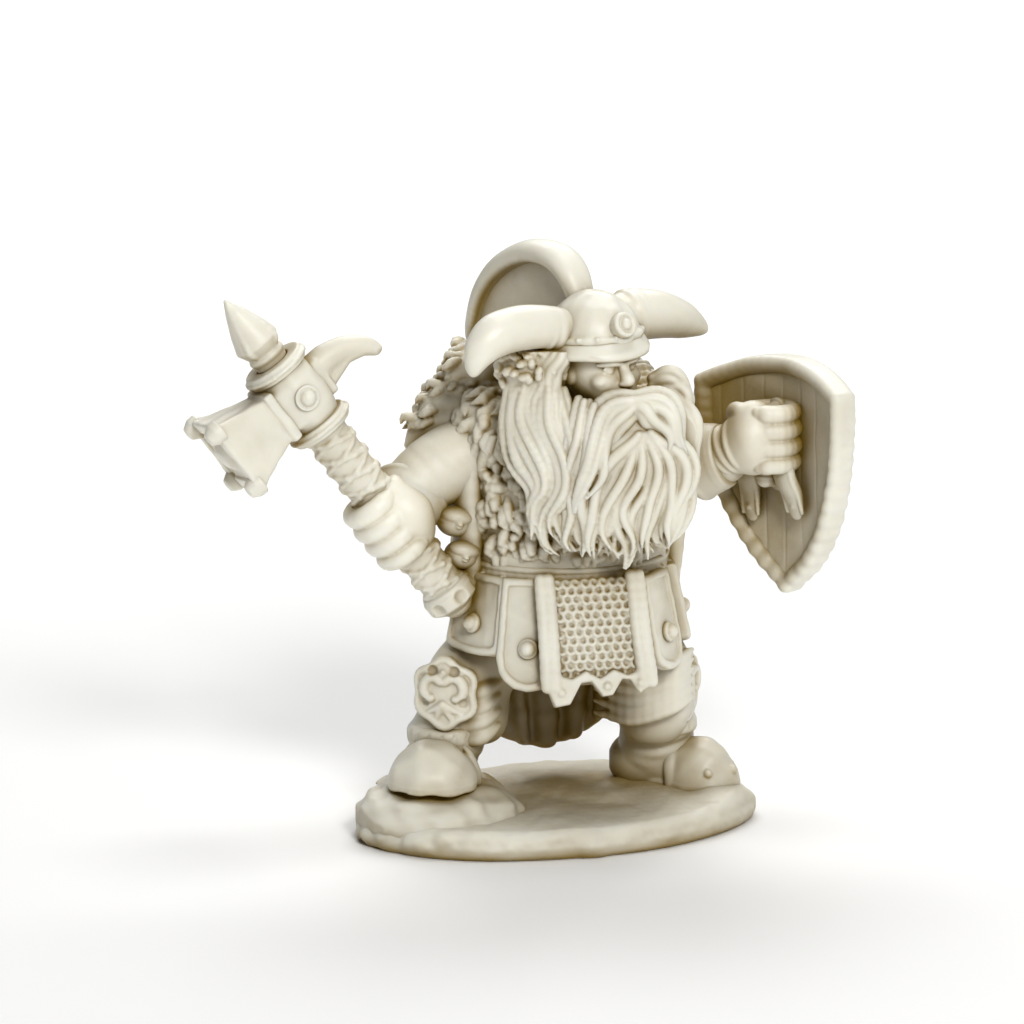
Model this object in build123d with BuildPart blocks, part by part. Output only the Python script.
"""A 28 mm scale dwarf warrior miniature, split into the separate items of its sculpt.

Frame: millimetres, +Z up, origin at the middle of the base's flat underside.
The warrior's chest looks towards -Y, turned a little to +X. The war hammer is on the
-X side, held by the right hand, and the shield is on the +X side, on the left hand.
"""

from build123d import *

import os

# ---------------------------------------------------------------- driving dimensions
BASE_LENGTH = 20.8
BASE_WIDTH = 14.6
BASE_HEIGHT = 1.4
BASE_YAW = 25
BASE_ROUND = 0.5
ROCK_HEIGHT = 1.2
ROCK_RADII = (3.9, 3.0)
ROCK_SHIFT = 0.6
ROCK_TAPER = 10

PEG_RADIUS = 0.5
PEG_LENGTH = 0.8
PEG_GAP = 0.04

BODY_CENTRE = (0.6, 0.8)
BODY_YAW = 20
WAIST_HEIGHT = 12.3
HIP_DROP = 4.6
HIP_TAPER = 6
TORSO_HALF_WIDTH = 4.1
TORSO_HALF_DEPTH = 3.2
TORSO_TOP = 20.2
TORSO_ROUND = 1.3
NECK_DROP = 4.5
NECK_LENGTH = 3.2
BELT_HEIGHT = 1.2
BELT_WALL = 0.6
VEST_BOTTOM = 14.2
VEST_TOP = 18.8
VEST_WALL = 0.9
MANTLE_WALL = 1.5
MANTLE_HEIGHT = 2.8
MANTLE_TAPER = 36
POUCHES = ((-5.0, -1.3, 15.4), (-4.8, -1.7, 13.9))
POUCH_RADIUS = 0.85
CLOAK_WALL = 0.8
CLOAK_HALF_WIDTH = 6.2
CLOAK_TIP = 3.0
CLOAK_TOP = 26.0

SKIRT_TOP = 12.7
SKIRT_FLARE = 12
SKIRT_HALF_WIDTH = 4.7
SKIRT_HALF_DEPTH = 3.8
PLATE_WALL = 0.6
PLATE_TOP = 0.42
TASSET_CURVE = 0.8
TASSETS = {
    "tasset_right_front": (3.0, 5.0, 38),
    "tasset_right_side": (3.3, 3.6, 78),
    "tasset_left_front": (2.6, 4.6, -44),
    "tasset_left_side": (3.3, 3.8, -82),
}
RIVET_RADIUS = 0.42
RIVET_HEIGHT = 0.3
RIVET_DROP = 0.62
TABARD_WIDTH = 5.4
TABARD_AZIMUTH = 6
TABARD_DROP = 5.4
TABARD_EDGE = 0.8
TABARD_CURVE = 0.4
BORDER_CURVE = 0.5
BORDER_LIFT = 0.2

HIP_JOINTS = {"right": (-1.7, 0.4, 9.0), "left": (3.0, 1.5, 9.0)}
KNEES = {"right": (-4.9, -0.5, 7.6), "left": (4.9, 1.5, 7.4)}
BOOT_TOPS = {"right": (-5.4, -0.7, 5.2), "left": (5.0, 2.7, 4.9)}
LEG_RADII = (2.1, 1.9, 1.6)
SOLES = {"right": (-5.5, -0.9, BASE_HEIGHT + ROCK_HEIGHT), "left": (5.2, 3.0, BASE_HEIGHT)}
FOOT_YAWS = {"right": -106, "left": -28}
FOOT_LENGTH = 5.2
FOOT_WIDTH = 3.0
FOOT_HEIGHT = 1.9
FOOT_ROUND = 0.76
ANKLE_HEIGHT = 1.14
SHAFT_RADIUS = 1.65
CUFF_RADIUS = 2.1
CUFF_HEIGHT = 0.8
CUFF_ROUND = 0.32
TOE_REACH = 2.1
TOE_RADII = {"right": 2.05, "left": 1.8}
TOE_LIFTS = {"right": 0.11, "left": 0.35}
GUARD_RADIUS = 2.35
GUARD_HEIGHT = 2.9
GUARD_LIFT = 1.9
GUARD_ROUND = 0.5
GUARD_SETBACK = 0.4

HEAD_CENTRE = (1.7, -2.0, 24.5)
HEAD_YAW = 38
HEAD_ROLL = 3
HELMET_RADIUS = 2.3
HELMET_WALL = 0.4
BRIM_REACH = 0.35
BRIM_HEIGHT = 0.6
NECK_RADIUS = 0.9
SKULL_RADIUS = 1.7
BOSS_LIFT = 0.9
SKULL_LIFT = 0.7
SKULL_HEIGHT = 3.4
SKULL_ROUND = 0.8
CREST_WIDTH = 1.5
CREST_WEB = 0.7
CREST_RIM = 0.9
CREST_ARC = ((-1.2, 1.9), (4.6, 4.15), (9.2, -1.7))
CREST_UNDERSIDE = (3.4, 0.4)
CREST_SLANT = 0.6
HORN_PATH = ((1.7, 0.8), (3.5, 1.1), (5.2, 0.6), (6.6, -0.8))
HORN_RADII = (1.05, 0.95, 0.6, 0.14)
BEARD_ROOT = (0.0, -4.2, 21.8)
BEARD_TOP = 1.9
BEARD_HALF_WIDTH = 3.9
BEARD_TIP = 0.9
BEARD_DROP = 8.6
BEARD_DEPTH = 1.5
BEARD_WIDEST = -3.01
MOUSTACHE_ROOT = (3.3, -4.4, 22.1)
MOUSTACHE_TAILS = (((1.9, -5.4, 20.4), (0.8, -6.0, 18.4)), ((4.9, -4.5, 21.3), (5.6, -4.3, 20.0)))
MOUSTACHE_RADII = (0.5, 0.6, 0.25)
HAIR_LOCKS = {
    "right": ((-0.3, -3.3, 22.2), (-1.7, -4.2, 19.0), (-1.4, -4.5, 15.2)),
    "left": ((4.6, -1.2, 22.6), (5.6, -1.6, 20.6), (5.2, -2.6, 18.0)),
}
HAIR_RADII = (0.8, 1.0, 0.4)

SHOULDERS = {"right": (-4.1, 0.1, 18.4), "left": (5.1, 1.4, 18.6)}
ELBOWS = {"right": (-6.6, -0.9, 17.2), "left": (6.6, 1.1, 17.9)}
WRISTS = {"right": (-7.7, -2.0, 16.1), "left": (7.9, 0.6, 18.2)}
ARM_RADII = (1.8, 1.55, 1.25)
WRIST_CUFF_RADIUS = 1.95
WRIST_CUFF_LENGTH = 0.9

HAFT_RADIUS = 0.95
HAFT_LENGTH = 13.2
TENON_RADIUS = 0.7
TENON_LENGTH = 1.6
WRAP_WALL = 0.2
POMMEL_RADIUS = 1.4
POMMEL_HEIGHT = 1.2
POMMEL_ROUND = 0.35
SOCKET_CENTRE = (-12.5, -3.7, 22.1)
HAFT_LEAN = -35.3
HAFT_NOD = 9
HEAD_SWING = 25
SOCKET_RADIUS = 1.3
SOCKET_HALF = 1.5
COLLAR_RADIUS = 1.6
COLLAR_HEIGHT = 0.6
COLLAR_ROUND = 0.21
BLOCK_NEAR = 2.6
BLOCK_FAR = 4.2
BLOCK_START = 0.8
BLOCK_ASPECT = 0.8
BLOCK_ROUND = 0.3
BLOCK_END = 4.6
STUD_RADIUS = 0.5
STRAP_SIZE = (0.9, 2.6, 0.45)
STRAP_LIFT = 0.5
STRAP_SPREAD = 1.2
STUD_HEIGHT = 0.7
STUD_SPACING = (2.31, 2.94)
SPIKE_NECK = 0.5
SPIKE_NECK_RADIUS = 0.92
SPIKE_RADIUS = 1.15
SPIKE_TIP = 0.15
SPIKE_LENGTH = 3.3
BEAK_BACK = ((1.0, 1.1), (3.4, 0.75))
BEAK_TIP = (4.6, -0.8)
BEAK_BELLY = ((3.0, -0.45), (1.0, -1.0))
BEAK_WIDTH = 0.9
BOSS_RADIUS = 0.6
BOSS_HEIGHT = 0.35
FIST_DROP = 7.9
FIST_RADIUS = 1.75
FIST_HEIGHT = 3.3

SHIELD_CENTRE = (11.0, 1.1, 17.2)
SHIELD_YAW = -47
SHIELD_ROLL = 2
SHIELD_WIDTH = 9.2
SHIELD_TOP = 5.5
SHIELD_CORNER = 4.2
SHIELD_TIP = -5.5
SHIELD_DISH = 11.0
SHIELD_WALL = 1.1
SHIELD_SHOULDER = (0.55, 0.35)
SHIELD_FLANK = (0.88, -1.2)
TIP_INSET = 1.4
SHIELD_BOSS_RADIUS = 1.5
SHIELD_BOSS_REACH = 1.0
RIM_WIDTH = 0.7
RIM_LIP = 0.7
GRIP_RADIUS = 0.45
GRIP_FOOT = 0.3
GRIP_LIFT = 2.0
GRIP_HALF = 2.6
GRIP_HEIGHT = 1.6

# ---------------------------------------------------------------- working frames
BODY = Plane(Location((*BODY_CENTRE, 0), (0, 0, BODY_YAW)))
HEAD = Plane(Location(HEAD_CENTRE, (0, -HEAD_ROLL, HEAD_YAW)))
HAFT = Plane(Location(SOCKET_CENTRE, (HAFT_NOD, HAFT_LEAN, 0)))
HAMMER = Plane(HAFT.location * Location((0, 0, 0), (0, 0, HEAD_SWING)))
SHIELD = Plane(
    Location(SHIELD_CENTRE, (0, 0, SHIELD_YAW))
    * Location((0, 0, 0), (90, 0, 0))
    * Location((0, 0, 0), (0, 0, SHIELD_ROLL))
)
BASE_TO_TOP = (Align.CENTER, Align.CENTER, Align.MIN)
TOP_TO_BASE = (Align.CENTER, Align.CENTER, Align.MAX)


# ---------------------------------------------------------------- helpers
def toward(start, end):
    """A plane at start whose normal points to end."""
    return Plane(origin=start, z_dir=Vector(*end) - Vector(*start))


def spot(plane, x=0.0, y=0.0, z=0.0):
    """The location x, y, z in a plane's own axes."""
    return plane.location * Location((x, y, z))


def limb(points, radii):
    """Adds tapering segments, with a ball at each bend, to the part being built."""
    for (start, end), (near, far) in zip(zip(points, points[1:]), zip(radii, radii[1:])):
        span = (Vector(*end) - Vector(*start)).length
        with Locations(toward(start, end).location):
            Cone(near, far, span, align=BASE_TO_TOP)
    for point, radius in list(zip(points, radii))[1:-1]:
        with Locations(point):
            Sphere(radius)


def oval(wall=0.0, mode=Mode.ADD):
    """Draws the torso's flat-sided oval, a wall's thickness outside the torso."""
    SlotOverall(2 * (TORSO_HALF_WIDTH + wall), 2 * (TORSO_HALF_DEPTH + wall), mode=mode)


def keep_main():
    """Drops the slivers that a cut leaves beside the part being built."""
    slivers = BuildPart._get_context().part.solids().sort_by(SortBy.VOLUME)[:-1]
    for sliver in slivers:
        add(sliver, mode=Mode.SUBTRACT)


def carve(*neighbours):
    """Cuts finished neighbours out of the part being built, so that they only touch."""
    for neighbour in neighbours:
        add(neighbour, mode=Mode.SUBTRACT)
    keep_main()


def carve_all(*neighbours):
    """Cuts finished neighbours out of a group of solids."""
    for neighbour in neighbours:
        add(neighbour, mode=Mode.SUBTRACT)


PIECES = {}


def finish(name, builder):
    """Labels a finished piece and writes it."""
    builder.part.label = name
    PIECES[name] = builder.part
    export_step(builder.part, f"parts/{name}.step")


def pieces(*names):
    """The finished pieces of these names."""
    return [PIECES[name] for name in names]


def peg_plane(side):
    """The level plane under a boot, with its x axis along the foot."""
    return Plane(Location(SOLES[side], (0, 0, FOOT_YAWS[side])))


os.makedirs("parts", exist_ok=True)


# ---------------------------------------------------------------- base
with BuildPart() as base_disc:
    with BuildSketch(Plane.XY.rotated((0, 0, BASE_YAW))):
        Ellipse(BASE_LENGTH / 2, BASE_WIDTH / 2)
    extrude(amount=BASE_HEIGHT)
    fillet(base_disc.edges().group_by(Axis.Z)[-1], BASE_ROUND)
    for side in SOLES:
        x, y, z = SOLES[side]
        with BuildSketch(Plane((x, y, BASE_HEIGHT))):
            Circle(PEG_RADIUS + PEG_GAP)
        extrude(amount=-(PEG_LENGTH + PEG_GAP), mode=Mode.SUBTRACT)
finish("base_disc", base_disc)

# The rock step under the right foot stands on the base.
with BuildPart() as base_rock:
    with BuildSketch(peg_plane("right").offset(-ROCK_HEIGHT)):
        with Locations((ROCK_SHIFT, 0)):
            Ellipse(*ROCK_RADII)
    extrude(amount=ROCK_HEIGHT, taper=ROCK_TAPER)
    with BuildSketch(peg_plane("right")):
        Circle(PEG_RADIUS + PEG_GAP)
    extrude(amount=-ROCK_HEIGHT, mode=Mode.SUBTRACT)
finish("base_rock", base_rock)


# ---------------------------------------------------------------- boots and legs
def make_boot(side):
    """A soft boot: foot, shaft and the peg under the sole."""
    sole = peg_plane(side)
    heel_shift = TOE_REACH / 2
    with BuildPart() as boot:
        with BuildSketch(sole):
            with Locations((heel_shift, 0)):
                SlotOverall(FOOT_LENGTH, FOOT_WIDTH)
        extrude(amount=FOOT_HEIGHT)
        fillet(boot.edges().group_by(Axis.Z)[-1], FOOT_ROUND)
        ankle = Vector(*SOLES[side]) + Vector(0, 0, ANKLE_HEIGHT)
        top = Vector(*BOOT_TOPS[side])
        with Locations(toward(ankle, top).location):
            Cylinder(SHAFT_RADIUS, (top - ankle).length, align=BASE_TO_TOP)
        depth = PEG_LENGTH + SOLES[side][2] - BASE_HEIGHT
        with BuildSketch(sole):
            Circle(PEG_RADIUS)
        extrude(amount=-depth)
    finish(f"{side}_boot", boot)


def make_toe_cap(side):
    """The domed metal cap round the toe of a boot."""
    sole = peg_plane(side)
    radius = TOE_RADII[side]
    with BuildPart() as toe_cap:
        with Locations(spot(sole, TOE_REACH, 0, radius * TOE_LIFTS[side])):
            Sphere(radius)
        split(bisect_by=sole, keep=Keep.TOP)
        carve(PIECES[f"{side}_boot"])
    finish(f"{side}_toe_cap", toe_cap)


def make_cuff(side):
    """The turned-down ring at the top of a boot."""
    start = Vector(*SOLES[side]) + Vector(0, 0, ANKLE_HEIGHT)
    top = Vector(*BOOT_TOPS[side])
    with BuildPart() as cuff:
        with Locations(spot(toward(start, top), z=(top - start).length)):
            Cylinder(CUFF_RADIUS, CUFF_HEIGHT, align=TOP_TO_BASE)
        fillet(cuff.edges(), CUFF_ROUND)
        carve(*pieces(f"{side}_boot", f"{side}_toe_cap"))
    finish(f"{side}_boot_cuff", cuff)


def make_leg(side):
    """The baggy trouser leg, from hip to boot."""
    with BuildPart() as leg:
        limb((HIP_JOINTS[side], KNEES[side], BOOT_TOPS[side]), LEG_RADII)
        carve(*pieces(f"{side}_boot", f"{side}_boot_cuff"))
    finish(f"{side}_leg", leg)


def make_knee_guard(side):
    """The scrolled plate over the front of a knee and shin."""
    knee = Vector(*KNEES[side])
    top = Vector(*BOOT_TOPS[side])
    shin = toward(top, knee)
    front = Plane(Location(tuple(top), (0, 0, FOOT_YAWS[side] + 90)))
    with BuildPart() as guard:
        with Locations(spot(shin, z=GUARD_LIFT)):
            Cylinder(GUARD_RADIUS, GUARD_HEIGHT)
        fillet(guard.edges(), GUARD_ROUND)
        face = Plane(origin=tuple(top), z_dir=-front.y_dir).offset(GUARD_SETBACK)
        split(bisect_by=face, keep=Keep.TOP)
        carve(*pieces(f"{side}_leg", f"{side}_boot", f"{side}_boot_cuff", f"{side}_toe_cap"))
    finish(f"{side}_knee_guard", guard)


for side in SOLES:
    make_boot(side)
    make_toe_cap(side)
    make_cuff(side)
    make_leg(side)
    make_knee_guard(side)
LEG_NAMES = [f"{side}_{name}" for side in SOLES for name in ("leg", "knee_guard")]


# ---------------------------------------------------------------- body
with BuildPart() as hips:
    with BuildSketch(BODY.offset(WAIST_HEIGHT)):
        oval()
    extrude(amount=-HIP_DROP, taper=-HIP_TAPER)
    carve(*pieces(*LEG_NAMES))
finish("hips", hips)

with BuildPart() as torso:
    with BuildSketch(BODY.offset(WAIST_HEIGHT)):
        oval()
    extrude(amount=TORSO_TOP - WAIST_HEIGHT)
    fillet(torso.edges().group_by(Axis.Z)[-1], TORSO_ROUND)
    with Locations((*HEAD_CENTRE[:2], HEAD_CENTRE[2] - NECK_DROP)):
        Cylinder(NECK_RADIUS, NECK_LENGTH, align=BASE_TO_TOP)
finish("torso", torso)


# ---------------------------------------------------------------- arms
def make_sleeve(side):
    """A thick sleeve, from shoulder to wrist."""
    with BuildPart() as sleeve:
        limb((SHOULDERS[side], ELBOWS[side], WRISTS[side]), ARM_RADII)
        carve(*pieces("torso", f"{side}_hand"))
    finish(f"{side}_sleeve", sleeve)


def make_wrist_cuff(side):
    """The turned-back cuff of a gauntlet, a ring on the sleeve."""
    away = toward(ELBOWS[side], WRISTS[side])
    reach = (Vector(*WRISTS[side]) - Vector(*ELBOWS[side])).length
    with BuildPart() as wrist_cuff:
        with Locations(spot(away, z=reach - WRIST_CUFF_LENGTH / 2)):
            Cylinder(WRIST_CUFF_RADIUS, WRIST_CUFF_LENGTH)
            Cylinder(ARM_RADII[1], WRIST_CUFF_LENGTH, mode=Mode.SUBTRACT)
        carve(PIECES[f"{side}_hand"])
        if side == "right":
            carve(*pieces("hammer_haft", "haft_wrap"))
    finish(f"{side}_wrist_cuff", wrist_cuff)


# ---------------------------------------------------------------- hammer
with BuildPart() as hammer_haft:
    with Locations(spot(HAFT, z=-SOCKET_HALF)):
        Cylinder(HAFT_RADIUS, HAFT_LENGTH - SOCKET_HALF, align=TOP_TO_BASE)
    with Locations(spot(HAFT, z=-SOCKET_HALF)):
        Cylinder(TENON_RADIUS, TENON_LENGTH, align=BASE_TO_TOP)
finish("hammer_haft", hammer_haft)

with BuildPart() as hammer_socket:
    with Locations(HAMMER.location):
        Cylinder(SOCKET_RADIUS, 2 * SOCKET_HALF)
    with Locations(spot(HAMMER, z=-SOCKET_HALF)):
        Cylinder(TENON_RADIUS + PEG_GAP, TENON_LENGTH + PEG_GAP, align=BASE_TO_TOP, mode=Mode.SUBTRACT)
finish("hammer_socket", hammer_socket)

with BuildPart() as hammer_collars:
    for height in (-SOCKET_HALF - COLLAR_HEIGHT / 2, SOCKET_HALF + COLLAR_HEIGHT / 2):
        with Locations(spot(HAMMER, z=height)):
            Cylinder(COLLAR_RADIUS, COLLAR_HEIGHT)
    fillet(hammer_collars.edges(), COLLAR_ROUND)
    add(hammer_haft.part, mode=Mode.SUBTRACT)
finish("hammer_collars", hammer_collars)

with BuildPart() as hammer_spike:
    with Locations(spot(HAMMER, z=SOCKET_HALF + COLLAR_HEIGHT)):
        Cylinder(SPIKE_NECK_RADIUS, SPIKE_NECK, align=BASE_TO_TOP)
    with Locations(spot(HAMMER, z=SOCKET_HALF + COLLAR_HEIGHT + SPIKE_NECK)):
        Cone(SPIKE_RADIUS, SPIKE_TIP, SPIKE_LENGTH, align=BASE_TO_TOP)
finish("hammer_spike", hammer_spike)


def across(distance):
    """The plane square to the hammer's x axis, at this distance along it."""
    centre = spot(HAMMER, distance).position
    return Plane(origin=centre, x_dir=HAMMER.y_dir, z_dir=HAMMER.x_dir)


# The striking block flares out from the socket to a square face.
with BuildPart() as hammer_block:
    with BuildSketch(across(-BLOCK_START)):
        RectangleRounded(BLOCK_NEAR * BLOCK_ASPECT, BLOCK_NEAR, BLOCK_ROUND)
    with BuildSketch(across(-BLOCK_END)):
        RectangleRounded(BLOCK_FAR * BLOCK_ASPECT, BLOCK_FAR, BLOCK_ROUND)
    loft()
    carve(*pieces("hammer_socket", "hammer_collars"))
finish("hammer_block", hammer_block)

with BuildPart() as hammer_studs:
    with BuildSketch(across(-BLOCK_END)):
        with GridLocations(*STUD_SPACING, 2, 2):
            Circle(STUD_RADIUS)
    extrude(amount=-STUD_HEIGHT)
finish("hammer_studs", hammer_studs)

with BuildPart() as hammer_beak:
    with BuildSketch(Plane(origin=HAMMER.origin, x_dir=HAMMER.x_dir, z_dir=-HAMMER.y_dir)):
        with BuildLine():
            ThreePointArc(*BEAK_BACK, BEAK_TIP)
            ThreePointArc(BEAK_TIP, *BEAK_BELLY)
            Line(BEAK_BELLY[1], BEAK_BACK[0])
        make_face()
    extrude(amount=BEAK_WIDTH / 2, both=True)
    carve(*pieces("hammer_socket", "hammer_collars"))
finish("hammer_beak", hammer_beak)

# The two round bosses on the cheeks of the socket.
with BuildPart() as hammer_bosses:
    with Locations(HAMMER.location * Location((0, 0, 0), (90, 0, 0))):
        Cylinder(BOSS_RADIUS, 2 * (SOCKET_RADIUS + BOSS_HEIGHT))
        Cylinder(BOSS_RADIUS, 2 * (SOCKET_RADIUS - BOSS_HEIGHT), mode=Mode.SUBTRACT)
    carve_all(*pieces("hammer_socket", "hammer_block"))
finish("hammer_bosses", hammer_bosses)

# The leather wrap is a thin sleeve round the haft, open where the fist holds it.
WRAP_SPANS = (
    (-SOCKET_HALF - COLLAR_HEIGHT, -FIST_DROP + FIST_HEIGHT / 2),
    (-FIST_DROP - FIST_HEIGHT / 2, -HAFT_LENGTH + POMMEL_HEIGHT),
)
with BuildPart() as haft_wrap:
    for upper, lower in WRAP_SPANS:
        with Locations(spot(HAFT, z=upper)):
            Cylinder(HAFT_RADIUS + WRAP_WALL, upper - lower, align=TOP_TO_BASE)
    add(hammer_haft.part, mode=Mode.SUBTRACT)
finish("haft_wrap", haft_wrap)

with BuildPart() as haft_pommel:
    with Locations(spot(HAFT, z=-HAFT_LENGTH)):
        Cylinder(POMMEL_RADIUS, POMMEL_HEIGHT, align=BASE_TO_TOP)
    fillet(haft_pommel.edges(), POMMEL_ROUND)
    add(hammer_haft.part, mode=Mode.SUBTRACT)
finish("haft_pommel", haft_pommel)

with BuildPart() as right_hand:
    with Locations(spot(HAFT, z=-FIST_DROP)):
        Cylinder(FIST_RADIUS, FIST_HEIGHT)
        Cylinder(HAFT_RADIUS, FIST_HEIGHT, mode=Mode.SUBTRACT)
finish("right_hand", right_hand)

make_sleeve("right")
make_wrist_cuff("right")


# ---------------------------------------------------------------- shield
def shield_outline(inset=0.0):
    """The edges of the heater outline, drawn in by inset."""
    half = SHIELD_WIDTH / 2 - inset
    peak = SHIELD_TOP - inset
    corner = SHIELD_CORNER - inset
    tip = SHIELD_TIP + inset * TIP_INSET
    along, drop = SHIELD_SHOULDER
    flank, waist = SHIELD_FLANK
    with BuildLine() as outline:
        for turn in (1, -1):
            ThreePointArc((0, peak), (turn * half * along, peak - drop), (turn * half, corner))
            ThreePointArc((turn * half, corner), (turn * half * flank, waist), (0, tip))
    return outline.edges()


def shield_shell(near, far):
    """Keeps only what lies between two cylinders about the shield's upright bending axis."""
    axis = SHIELD.location * Location((0, 0, SHIELD_DISH), (90, 0, 0))
    with Locations(axis):
        Cylinder(SHIELD_DISH + far, 3 * SHIELD_TOP, mode=Mode.INTERSECT)
        Cylinder(SHIELD_DISH - near, 3 * SHIELD_TOP, mode=Mode.SUBTRACT)


with BuildPart() as shield_board:
    with BuildSketch(SHIELD.offset(-SHIELD_DISH / 4)):
        make_face(shield_outline(RIM_WIDTH))
    extrude(amount=SHIELD_DISH / 2)
    shield_shell(0, SHIELD_WALL)
finish("shield_board", shield_board)

with BuildPart() as shield_rim:
    with BuildSketch(SHIELD.offset(-SHIELD_DISH / 4)):
        make_face(shield_outline())
    extrude(amount=SHIELD_DISH / 2)
    with BuildSketch(SHIELD.offset(-SHIELD_DISH / 4)):
        make_face(shield_outline(RIM_WIDTH))
    extrude(amount=SHIELD_DISH / 2, mode=Mode.SUBTRACT)
    shield_shell(RIM_LIP, SHIELD_WALL)
finish("shield_rim", shield_rim)

with BuildPart() as shield_boss:
    with Locations(spot(SHIELD, 0, GRIP_HEIGHT, -SHIELD_WALL / 2)):
        Cylinder(SHIELD_BOSS_RADIUS, SHIELD_WALL / 2 + SHIELD_BOSS_REACH, align=TOP_TO_BASE)
    carve(shield_board.part)
finish("shield_boss", shield_boss)

# The grip is an upright bar on two feet, and the fist closes round it.
with BuildPart() as shield_grip:
    with Locations(spot(SHIELD, 0, GRIP_HEIGHT, GRIP_LIFT) * Location((0, 0, 0), (90, 0, 0))):
        Cylinder(GRIP_RADIUS, 2 * GRIP_HALF)
    for end in (1, -1):
        with Locations(spot(SHIELD, 0, GRIP_HEIGHT + end * (GRIP_HALF - 2 * GRIP_FOOT))):
            Cylinder(GRIP_FOOT, GRIP_LIFT, align=BASE_TO_TOP)
    carve(shield_board.part)
finish("shield_grip", shield_grip)

with BuildPart() as left_hand:
    with Locations(spot(SHIELD, 0, GRIP_HEIGHT, GRIP_LIFT) * Location((0, 0, 0), (90, 0, 0))):
        Cylinder(FIST_RADIUS, FIST_HEIGHT)
        Cylinder(GRIP_RADIUS, 2 * GRIP_HALF, mode=Mode.SUBTRACT)
finish("left_hand", left_hand)

make_sleeve("left")
make_wrist_cuff("left")

# Two strap tails hang below the fist.
with BuildPart() as shield_straps:
    for shift in (-STRAP_SPREAD, STRAP_SPREAD):
        with Locations(spot(SHIELD, shift, GRIP_HEIGHT - FIST_HEIGHT / 2, STRAP_LIFT)):
            Box(*STRAP_SIZE, align=(Align.CENTER, Align.MAX, Align.CENTER))
    carve_all(*pieces("shield_board", "shield_grip", "left_hand"))
finish("shield_straps", shield_straps)


# ---------------------------------------------------------------- clothing
with BuildPart() as belt:
    with BuildSketch(BODY.offset(WAIST_HEIGHT)):
        oval(BELT_WALL)
        oval(mode=Mode.SUBTRACT)
    extrude(amount=BELT_HEIGHT)
finish("belt", belt)

with BuildPart() as fur_vest:
    with BuildSketch(BODY.offset(VEST_BOTTOM)):
        oval(VEST_WALL)
        oval(mode=Mode.SUBTRACT)
    extrude(amount=VEST_TOP - VEST_BOTTOM)
    carve(*pieces("right_sleeve", "left_sleeve"))
finish("fur_vest", fur_vest)

with BuildPart() as fur_mantle:
    with BuildSketch(BODY.offset(VEST_TOP)):
        oval(MANTLE_WALL)
    extrude(amount=MANTLE_HEIGHT, taper=MANTLE_TAPER)
    carve(*pieces("torso", "right_sleeve", "left_sleeve"))
finish("fur_mantle", fur_mantle)

# The hide cloak covers the back and ends in a rounded tip between the legs.
with BuildPart() as cloak:
    with BuildSketch(BODY):
        oval(VEST_WALL + CLOAK_WALL)
        oval(VEST_WALL, mode=Mode.SUBTRACT)
    extrude(amount=VEST_TOP)
    split(bisect_by=Plane(origin=BODY.origin, z_dir=BODY.y_dir), keep=Keep.TOP)
    with BuildSketch(Plane(origin=BODY.origin, x_dir=BODY.x_dir, z_dir=-BODY.y_dir)):
        with Locations((0, (CLOAK_TIP + CLOAK_TOP) / 2)):
            Ellipse(CLOAK_HALF_WIDTH, (CLOAK_TOP - CLOAK_TIP) / 2)
    extrude(amount=CLOAK_HALF_WIDTH * 2, both=True, mode=Mode.INTERSECT)
    carve(*pieces("right_sleeve", "left_sleeve", "haft_pommel", *LEG_NAMES))
finish("cloak", cloak)

with BuildPart() as belt_pouches:
    for place in POUCHES:
        with Locations(place):
            Sphere(POUCH_RADIUS)
    carve_all(*pieces("torso", "belt", "fur_vest", "right_sleeve", "right_hand", "cloak"))
    carve_all(*pieces("right_wrist_cuff", "hammer_haft", "haft_wrap"))
finish("belt_pouches", belt_pouches)


# ---------------------------------------------------------------- skirt
def hanging(azimuth, out=0.0):
    """The plane of a skirt plate: x sideways, y up, z outward, origin at its top edge."""
    turned = BODY.location * Location((0, 0, SKIRT_TOP), (0, 0, -azimuth))
    reach = SKIRT_HALF_DEPTH + (SKIRT_HALF_WIDTH - SKIRT_HALF_DEPTH) * abs(azimuth) / 90
    return Plane(turned * Location((0, -reach - out, 0)) * Location((0, 0, 0), (90 - SKIRT_FLARE, 0, 0)))


def plate_outline(width, drop, point):
    """The edges of a plate that widens downwards to a curved lower edge."""
    top = width * PLATE_TOP
    with BuildLine() as outline:
        Polyline((-width / 2, -drop + point), (-top, 0), (top, 0), (width / 2, -drop + point))
        ThreePointArc((width / 2, -drop + point), (0, -drop), (-width / 2, -drop + point))
    return outline.edges()


def tabard_panel():
    """The edges of the mail panel inside the tabard's border."""
    return plate_outline(TABARD_WIDTH - 2 * TABARD_EDGE, TABARD_DROP - TABARD_EDGE, TABARD_CURVE)


SKIRT_INNER = ("hips", "belt", "cloak", "haft_pommel", *LEG_NAMES)

with BuildPart() as tabard:
    with BuildSketch(hanging(TABARD_AZIMUTH)):
        make_face(tabard_panel())
    extrude(amount=PLATE_WALL)
    carve(*pieces(*SKIRT_INNER))
finish("tabard", tabard)

with BuildPart() as tabard_border:
    with BuildSketch(hanging(TABARD_AZIMUTH)):
        make_face(plate_outline(TABARD_WIDTH, TABARD_DROP, BORDER_CURVE))
    extrude(amount=PLATE_WALL + BORDER_LIFT)
    with BuildSketch(hanging(TABARD_AZIMUTH)):
        make_face(tabard_panel())
    extrude(amount=PLATE_WALL + BORDER_LIFT, mode=Mode.SUBTRACT)
    carve(*pieces("tabard", *SKIRT_INNER))
finish("tabard_border", tabard_border)

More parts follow.
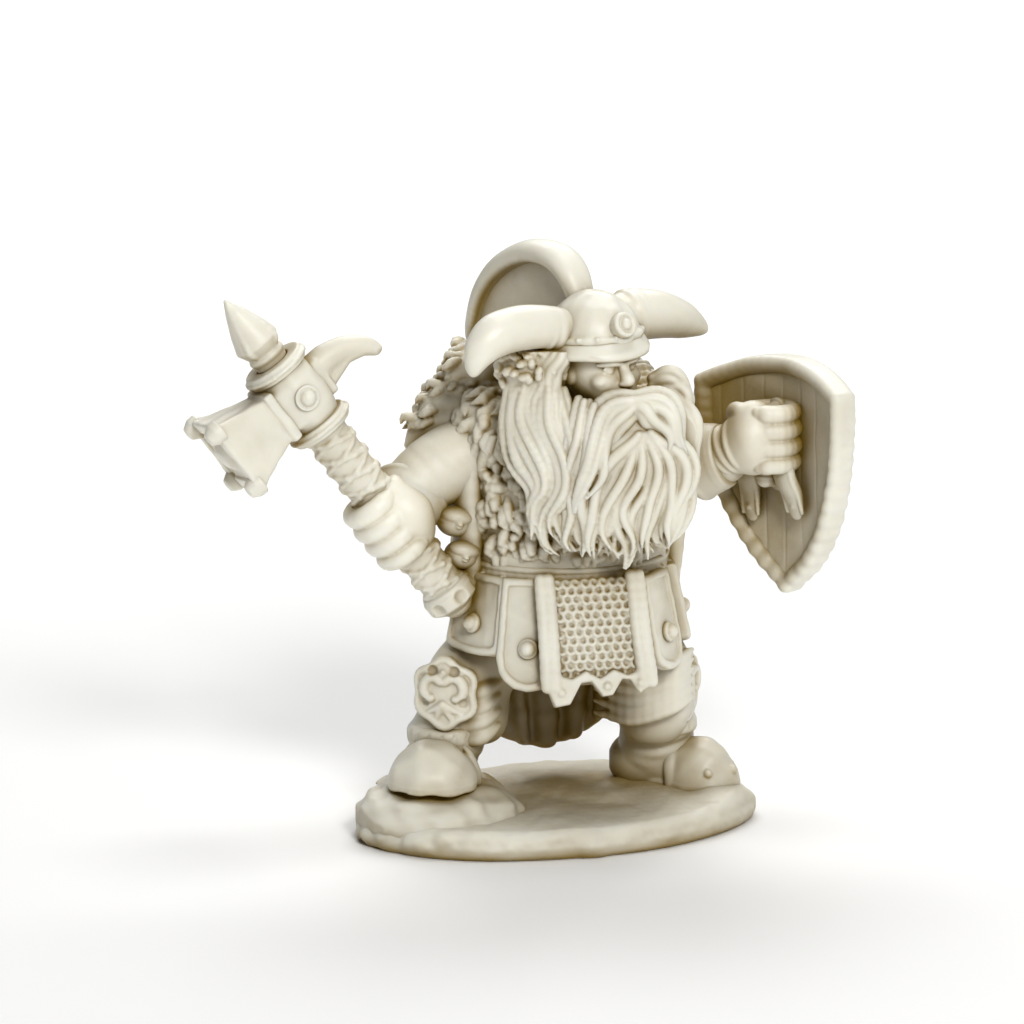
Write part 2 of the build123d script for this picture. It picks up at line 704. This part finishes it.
done = []
for name, (width, drop, azimuth) in TASSETS.items():
    with BuildPart() as tasset:
        with BuildSketch(hanging(azimuth)):
            make_face(plate_outline(width, drop, TASSET_CURVE))
        extrude(amount=PLATE_WALL)
        carve(*pieces("tabard", "tabard_border", *SKIRT_INNER, *done))
    finish(name, tasset)
    done.append(name)

with BuildPart() as tasset_rivets:
    for width, drop, azimuth in TASSETS.values():
        with Locations(spot(hanging(azimuth), 0, -drop * RIVET_DROP, PLATE_WALL)):
            Cylinder(RIVET_RADIUS, RIVET_HEIGHT, align=BASE_TO_TOP)
    carve_all(*pieces("tabard_border", *done))
finish("tasset_rivets", tasset_rivets)


# ---------------------------------------------------------------- head
with BuildPart() as helmet_dome:
    with Locations(HEAD.location):
        Sphere(HELMET_RADIUS)
        Sphere(HELMET_RADIUS - HELMET_WALL, mode=Mode.SUBTRACT)
    split(bisect_by=HEAD, keep=Keep.TOP)
finish("helmet_dome", helmet_dome)

with BuildPart() as helmet_brim:
    with Locations(HEAD.location):
        Cylinder(HELMET_RADIUS + BRIM_REACH, BRIM_HEIGHT, align=TOP_TO_BASE)
        Cylinder(HELMET_RADIUS - HELMET_WALL, BRIM_HEIGHT, align=TOP_TO_BASE, mode=Mode.SUBTRACT)
finish("helmet_brim", helmet_brim)


def clear_helmet():
    """Cuts the whole of the helmet, its inside too, out of the part being built."""
    with Locations(HEAD.location):
        Sphere(HELMET_RADIUS, mode=Mode.SUBTRACT)
        Cylinder(HELMET_RADIUS + BRIM_REACH, BRIM_HEIGHT, align=TOP_TO_BASE, mode=Mode.SUBTRACT)


def make_horn(side, turn):
    """A horn that leaves the helmet sideways and droops to a point."""
    with BuildLine() as path:
        Spline(*[spot(HEAD, turn * x, 0, z).position for x, z in HORN_PATH])
    rings = []
    for step, radius in enumerate(HORN_RADII):
        reach = step / (len(HORN_RADII) - 1)
        plane = Plane(origin=path.line @ reach, z_dir=path.line % reach)
        with BuildSketch(plane) as ring:
            Circle(radius)
        rings.append(ring.sketch)
    with BuildPart() as horn:
        loft(rings)
        clear_helmet()
    finish(f"horn_{side}", horn)


with BuildPart() as helmet_boss:
    with Locations(spot(HEAD, z=BOSS_LIFT) * Location((0, 0, 0), (90, 0, 0))):
        Cylinder(BOSS_RADIUS, HELMET_RADIUS + BOSS_HEIGHT / 2, align=BASE_TO_TOP)
    clear_helmet()
finish("helmet_boss", helmet_boss)

make_horn("right", -1)
make_horn("left", 1)

# The crest runs fore and aft over the helmet, with a thick rim round a thin web.
SAGITTAL = Plane(origin=HEAD.origin, x_dir=HEAD.y_dir, z_dir=HEAD.x_dir)


def crest_arc(inset):
    """The start, top and end of the crest's arc, drawn in by inset."""
    start, top, tail = CREST_ARC
    slant = inset * CREST_SLANT
    return (start[0] + slant, start[1] - slant), (top[0], top[1] - inset), (tail[0] - inset, tail[1])


with BuildPart() as crest_web:
    with BuildSketch(SAGITTAL):
        with BuildLine():
            ThreePointArc(*crest_arc(CREST_RIM))
            ThreePointArc(crest_arc(CREST_RIM)[2], CREST_UNDERSIDE, crest_arc(CREST_RIM)[0])
        make_face()
    extrude(amount=CREST_WEB / 2, both=True)
    clear_helmet()
finish("crest_web", crest_web)

with BuildPart() as crest_rim:
    with BuildSketch(SAGITTAL):
        with BuildLine():
            ThreePointArc(*crest_arc(0))
            ThreePointArc(*crest_arc(CREST_RIM))
            Line(crest_arc(0)[0], crest_arc(CREST_RIM)[0])
            Line(crest_arc(0)[2], crest_arc(CREST_RIM)[2])
        make_face()
    extrude(amount=CREST_WIDTH / 2, both=True)
    clear_helmet()
finish("crest_rim", crest_rim)

with BuildPart() as head:
    with Locations(spot(HEAD, z=SKULL_LIFT)):
        Cylinder(SKULL_RADIUS, SKULL_HEIGHT, align=TOP_TO_BASE)
    fillet(head.edges().group_by(Axis.Z)[0], SKULL_ROUND)
    with Locations((*HEAD_CENTRE[:2], HEAD_CENTRE[2] - NECK_DROP)):
        Cylinder(NECK_RADIUS + PEG_GAP, NECK_LENGTH + PEG_GAP, align=BASE_TO_TOP, mode=Mode.SUBTRACT)
finish("head", head)

# The beard is a slab with a pointed oval outline that hangs from the chin over the chest.
CHEST = Plane(BODY.location * Location(BEARD_ROOT, (90, 0, 0)))
with BuildPart() as beard:
    with BuildSketch(CHEST):
        with BuildLine():
            ThreePointArc((BEARD_TOP, 0), (BEARD_HALF_WIDTH, BEARD_WIDEST), (BEARD_TIP, -BEARD_DROP))
            Line((BEARD_TIP, -BEARD_DROP), (-BEARD_TIP, -BEARD_DROP))
            ThreePointArc((-BEARD_TIP, -BEARD_DROP), (-BEARD_HALF_WIDTH, BEARD_WIDEST), (-BEARD_TOP, 0))
            Line((-BEARD_TOP, 0), (BEARD_TOP, 0))
        make_face()
    extrude(amount=BEARD_DEPTH)
    carve(*pieces("head", "fur_mantle", "tabard", "tabard_border"))
finish("beard", beard)

with BuildPart() as moustache:
    for tail in MOUSTACHE_TAILS:
        limb((MOUSTACHE_ROOT, *tail), MOUSTACHE_RADII)
    carve(*pieces("head", "beard"))
finish("moustache", moustache)

for side, points in HAIR_LOCKS.items():
    with BuildPart() as hair:
        limb(points, HAIR_RADII)
        carve(*pieces("head", "beard", "moustache", "torso"))
        carve(*pieces("fur_vest", "fur_mantle", "helmet_brim", f"{side}_sleeve"))
    finish(f"{side}_hair", hair)
